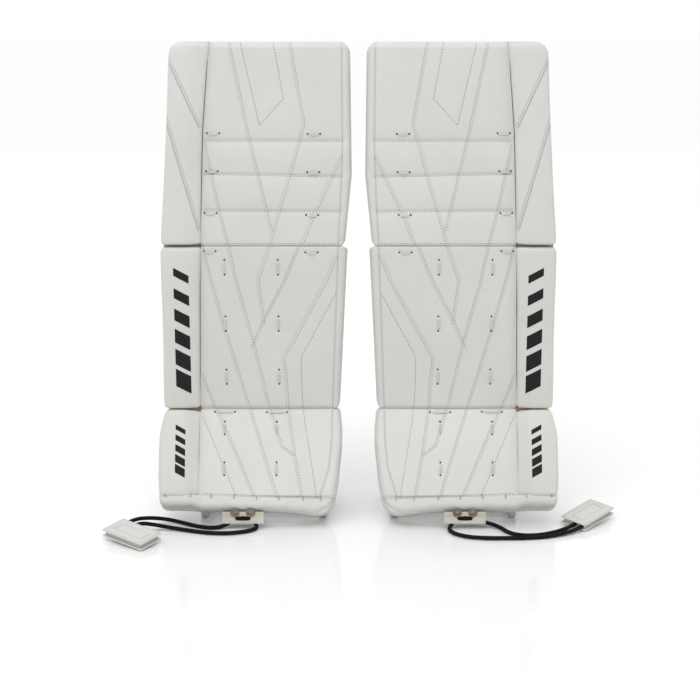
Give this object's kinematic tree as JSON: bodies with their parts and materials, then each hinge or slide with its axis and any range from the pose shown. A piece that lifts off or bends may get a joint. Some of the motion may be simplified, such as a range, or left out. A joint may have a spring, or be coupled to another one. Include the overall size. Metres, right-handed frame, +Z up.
{
  "type": "goalie leg pads",
  "caption": "Pair of upright white leather goalie leg pads with outer rolls, stitched faces, laced breaks, rear straps and elastic toe ties with folding tabs.",
  "frame": {"origin": "on the floor, under the middle of the pair's box", "axes": "+Z up along the pads, +Y from the faces to the backs, +X from one pad to the other"},
  "size_m": [0.7532, 0.2924, 0.7061],
  "materials": {
    "face_leather": "satin",
    "roll_leather": "satin",
    "foam": "matte",
    "lining_nylon": "matte",
    "lace_cord": "matte",
    "wing_nylon": "matte",
    "strap_webbing": "matte",
    "rail_leather": "satin",
    "bridge_leather": "satin",
    "rivet_metal": "satin",
    "tie_elastic": "matte",
    "tab_leather": "satin"
  },
  "bodies": {
    "left_thigh": {"left_thigh_core": "foam", "left_thigh_cover": "face_leather", "left_thigh_lining": "lining_nylon", "left_thigh_outer_roll": "roll_leather", "left_thigh_laces": "lace_cord", "left_thigh_strap_anchors": "wing_nylon"},
    "left_thigh_strap_band": {"left_thigh_strap": "strap_webbing"},
    "left_shin": {"left_shin_core": "foam", "left_shin_cover": "face_leather", "left_shin_lining": "lining_nylon", "left_shin_outer_roll": "roll_leather", "left_shin_laces": "lace_cord", "left_knee_stack": "wing_nylon", "left_outer_calf_wing": "wing_nylon"},
    "left_calf_flap": {"left_inner_calf_flap": "wing_nylon"},
    "left_calf_strap_band": {"left_calf_strap": "strap_webbing"},
    "left_knee_strap_band": {"left_knee_strap": "strap_webbing"},
    "left_boot": {"left_boot_core": "foam", "left_boot_cover": "face_leather", "left_boot_lining": "lining_nylon", "left_boot_outer_roll": "roll_leather", "left_boot_laces": "lace_cord", "left_boot_rails": "rail_leather", "left_toe_bridge": "bridge_leather", "left_toe_bridge_rivets": "rivet_metal"},
    "left_boot_strap_band": {"left_boot_strap": "strap_webbing"},
    "left_toe_tie": {"left_toe_cord_far": "tie_elastic", "left_toe_cord_near": "tie_elastic", "left_toe_tab_base": "tab_leather"},
    "left_toe_tab": {"left_toe_tab_flap": "tab_leather"},
    "right_thigh": {"right_thigh_core": "foam", "right_thigh_cover": "face_leather", "right_thigh_lining": "lining_nylon", "right_thigh_outer_roll": "roll_leather", "right_thigh_laces": "lace_cord", "right_thigh_strap_anchors": "wing_nylon"},
    "right_thigh_strap_band": {"right_thigh_strap": "strap_webbing"},
    "right_shin": {"right_shin_core": "foam", "right_shin_cover": "face_leather", "right_shin_lining": "lining_nylon", "right_shin_outer_roll": "roll_leather", "right_shin_laces": "lace_cord", "right_knee_stack": "wing_nylon", "right_outer_calf_wing": "wing_nylon"},
    "right_calf_flap": {"right_inner_calf_flap": "wing_nylon"},
    "right_calf_strap_band": {"right_calf_strap": "strap_webbing"},
    "right_knee_strap_band": {"right_knee_strap": "strap_webbing"},
    "right_boot": {"right_boot_core": "foam", "right_boot_cover": "face_leather", "right_boot_lining": "lining_nylon", "right_boot_outer_roll": "roll_leather", "right_boot_laces": "lace_cord", "right_boot_rails": "rail_leather", "right_toe_bridge": "bridge_leather", "right_toe_bridge_rivets": "rivet_metal"},
    "right_boot_strap_band": {"right_boot_strap": "strap_webbing"},
    "right_toe_tie": {"right_toe_cord_far": "tie_elastic", "right_toe_cord_near": "tie_elastic", "right_toe_tab_base": "tab_leather"},
    "right_toe_tab": {"right_toe_tab_flap": "tab_leather"}
  },
  "joints": [
    {"name": "left_knee_flex", "type": "hinge", "parent": "left_shin", "child": "left_thigh", "pos_m": [0.155, -0.0378, 0.415], "axis": [1, 0, 0], "range_deg": [-8, 8], "stiffness_Nm_per_rad": 12},
    {"name": "left_boot_flex", "type": "hinge", "parent": "left_shin", "child": "left_boot", "pos_m": [0.155, -0.0378, 0.1685], "axis": [1, 0, 0], "range_deg": [-8, 10], "stiffness_Nm_per_rad": 25},
    {"name": "left_thigh_strap_open", "type": "hinge", "parent": "left_thigh", "child": "left_thigh_strap_band", "pos_m": [0.046, 0.03846, 0.52996], "axis": [0, 0.0698, 0.9976], "range_deg": [0, 95]},
    {"name": "left_knee_strap_open", "type": "hinge", "parent": "left_shin", "child": "left_knee_strap_band", "pos_m": [0.052, 0.06405, 0.352], "axis": [0, 0, 1], "range_deg": [0, 85]},
    {"name": "left_calf_flap_swing", "type": "hinge", "parent": "left_shin", "child": "left_calf_flap", "pos_m": [0.066, 0.0174, 0.253], "axis": [0, 0, 1], "range_deg": [-30, 25], "stiffness_Nm_per_rad": 0.3},
    {"name": "left_calf_strap_open", "type": "hinge", "parent": "left_shin", "child": "left_calf_strap_band", "pos_m": [0.247, 0.10445, 0.256], "axis": [0, 0, -1], "range_deg": [0, 150]},
    {"name": "left_boot_strap_open", "type": "hinge", "parent": "left_boot", "child": "left_boot_strap_band", "pos_m": [0.24, 0.05645, 0.022], "axis": [0, 0, -1], "range_deg": [0, 150]},
    {"name": "left_toe_tie_swing", "type": "hinge", "parent": "left_boot", "child": "left_toe_tie", "pos_m": [0.1575, -0.0948, 0.005], "axis": [-1, 0, 0], "range_deg": [0, 22]},
    {"name": "left_toe_tab_lift", "type": "hinge", "parent": "left_toe_tie", "child": "left_toe_tab", "pos_m": [0.36819, -0.04015, 0.01786], "axis": [-0.7408, 0.6667, 0.0819], "range_deg": [0, 150]},
    {"name": "right_knee_flex", "type": "hinge", "parent": "right_shin", "child": "right_thigh", "pos_m": [-0.155, -0.0378, 0.415], "axis": [1, 0, 0], "range_deg": [-8, 8], "stiffness_Nm_per_rad": 12},
    {"name": "right_boot_flex", "type": "hinge", "parent": "right_shin", "child": "right_boot", "pos_m": [-0.155, -0.0378, 0.1685], "axis": [1, 0, 0], "range_deg": [-8, 10], "stiffness_Nm_per_rad": 25},
    {"name": "right_thigh_strap_open", "type": "hinge", "parent": "right_thigh", "child": "right_thigh_strap_band", "pos_m": [-0.046, 0.03846, 0.52996], "axis": [0, -0.0698, -0.9976], "range_deg": [0, 95]},
    {"name": "right_knee_strap_open", "type": "hinge", "parent": "right_shin", "child": "right_knee_strap_band", "pos_m": [-0.052, 0.06405, 0.352], "axis": [0, 0, -1], "range_deg": [0, 85]},
    {"name": "right_calf_flap_swing", "type": "hinge", "parent": "right_shin", "child": "right_calf_flap", "pos_m": [-0.066, 0.0174, 0.253], "axis": [0, 0, -1], "range_deg": [-30, 25], "stiffness_Nm_per_rad": 0.3},
    {"name": "right_calf_strap_open", "type": "hinge", "parent": "right_shin", "child": "right_calf_strap_band", "pos_m": [-0.247, 0.10445, 0.256], "axis": [0, 0, 1], "range_deg": [0, 150]},
    {"name": "right_boot_strap_open", "type": "hinge", "parent": "right_boot", "child": "right_boot_strap_band", "pos_m": [-0.24, 0.05645, 0.022], "axis": [0, 0, 1], "range_deg": [0, 150]},
    {"name": "right_toe_tie_swing", "type": "hinge", "parent": "right_boot", "child": "right_toe_tie", "pos_m": [-0.1709, -0.0948, 0.005], "axis": [-1, 0, 0], "range_deg": [0, 22]},
    {"name": "right_toe_tab_lift", "type": "hinge", "parent": "right_toe_tie", "child": "right_toe_tab", "pos_m": [-0.34148, -0.16531, 0.01208], "axis": [0.8007, -0.5946, -0.073], "range_deg": [0, 150]},
    {"name": "pad_spacing", "type": "slide", "parent": "right_shin", "child": "left_shin", "axis": [1, 0, 0], "range_m": [0, 0.3]}
  ]
}
